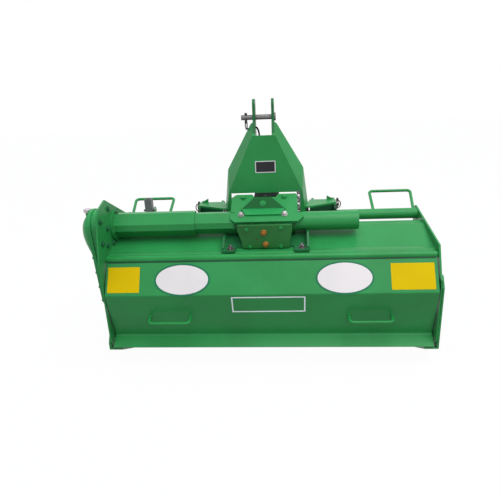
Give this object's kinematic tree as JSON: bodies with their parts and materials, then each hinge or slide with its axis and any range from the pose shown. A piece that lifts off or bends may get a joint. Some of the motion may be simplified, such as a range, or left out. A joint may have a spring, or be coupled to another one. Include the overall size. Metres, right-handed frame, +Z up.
{
  "type": "rotary tiller",
  "caption": "Tractor-mounted rotary tiller with a side chain case, sliding drive beam, folded hood, hinged tailboard, L-shaped hoes on a flanged rotor, skids and a parking leg.",
  "frame": {"origin": "centre of the overall bounding box, at floor level", "axes": "+X to the right seen from behind, +Y towards the tractor, +Z up"},
  "size_m": [1.3251, 0.5445, 0.93],
  "materials": {
    "green_paint": "glossy",
    "cast_housing": "satin",
    "black_paint": "satin",
    "dark_steel": "satin",
    "bare_steel": "zinc plated",
    "brass_plug": "dull",
    "black_plastic": "matte",
    "label_white": "satin film",
    "label_yellow": "satin film"
  },
  "bodies": {
    "chassis": {"hood_sheet": "green_paint", "side_plate_left": "green_paint", "side_plate_right": "green_paint", "front_cross_tube": "green_paint", "tailboard_pivot_left": "green_paint", "tailboard_pivot_right": "green_paint", "skid_left": "green_paint", "skid_right": "green_paint", "rotor_bearing_hub": "cast_housing", "chain_case_body": "green_paint", "chain_case_cover": "green_paint", "oil_filler_cap": "bare_steel", "drive_beam_flange": "green_paint", "drive_beam_sleeve": "green_paint", "drive_beam_inner": "green_paint", "gearbox_housing": "cast_housing", "gearbox_rear_cover": "cast_housing", "gearbox_top_plate": "green_paint", "gearbox_eye_bracket": "green_paint", "gearbox_oil_plugs": "brass_plug", "gearbox_saddle": "green_paint", "shaft_cover_tube": "green_paint", "pto_guard": "black_plastic", "headstock_shell": "green_paint", "headstock_lug_left": "green_paint", "headstock_lug_right": "green_paint", "top_link_pin": "bare_steel", "top_link_linchpin": "bare_steel", "hitch_bracket_left": "green_paint", "hitch_bracket_right": "green_paint", "hitch_pin_left": "bare_steel", "hitch_pin_right": "bare_steel", "hitch_linchpin_left": "bare_steel", "hitch_linchpin_right": "bare_steel", "front_guard_left": "green_paint", "front_guard_right": "green_paint", "stand_sleeve": "green_paint"},
    "rotor": {"rotor_tube": "black_paint", "rotor_hoes_left_hand": "dark_steel", "rotor_hoes_right_hand": "dark_steel"},
    "input_shaft": {"pto_shaft": "bare_steel"},
    "tailboard": {"tailboard_sheet": "green_paint", "tailboard_hinge_tube": "green_paint", "tailboard_handles": "green_paint"},
    "parking_stand": {"stand_leg": "bare_steel", "stand_pin": "bare_steel"}
  },
  "joints": [
    {"name": "rotor_spin", "type": "hinge", "parent": "chassis", "child": "rotor", "pos_m": [0.0575, -0.015, 0.207], "axis": [-1, 0, 0], "continuous": true},
    {"name": "input_spin", "type": "hinge", "parent": "chassis", "child": "input_shaft", "pos_m": [0.0475, 0.1, 0.518], "axis": [0, 1, 0], "continuous": true},
    {"name": "tailboard_hinge", "type": "hinge", "parent": "chassis", "child": "tailboard", "pos_m": [0.0575, -0.175, 0.401], "axis": [-1, 0, 0], "range_deg": [0, 70]},
    {"name": "stand_slide", "type": "slide", "parent": "chassis", "child": "parking_stand", "axis": [0, 0, 1], "range_m": [0, 0.28]}
  ],
  "couplings": [
    {"joint": "input_spin", "follows": "rotor_spin", "ratio": 2.4}
  ]
}
